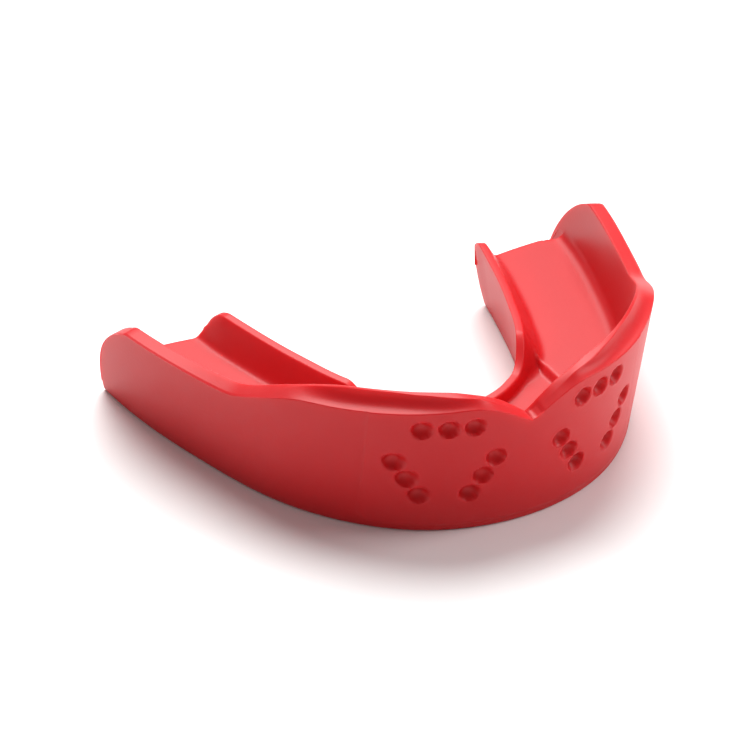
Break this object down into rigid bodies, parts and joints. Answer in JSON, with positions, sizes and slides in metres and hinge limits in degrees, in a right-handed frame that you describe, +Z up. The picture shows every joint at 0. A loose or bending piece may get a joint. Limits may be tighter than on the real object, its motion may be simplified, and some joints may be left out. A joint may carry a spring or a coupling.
{
  "type": "mouthguard",
  "caption": "U-shaped boil-and-bite mouthguard for the upper teeth: tall flared lip wall with frenum notch and grip dimples, bite plate and low tongue walls.",
  "frame": {"origin": "under the middle of the guard's bounding box, on the flat underside of the bite plate", "axes": "+X across the mouth to the wearer's left, +Y from the lips to the throat, +Z up to the gums"},
  "size_m": [0.062, 0.049, 0.0184],
  "materials": {
    "guard_plastic": "satin, slightly translucent soft plastic"
  },
  "bodies": {
    "root": {"mouthguard": "guard_plastic"}
  },
  "joints": []
}
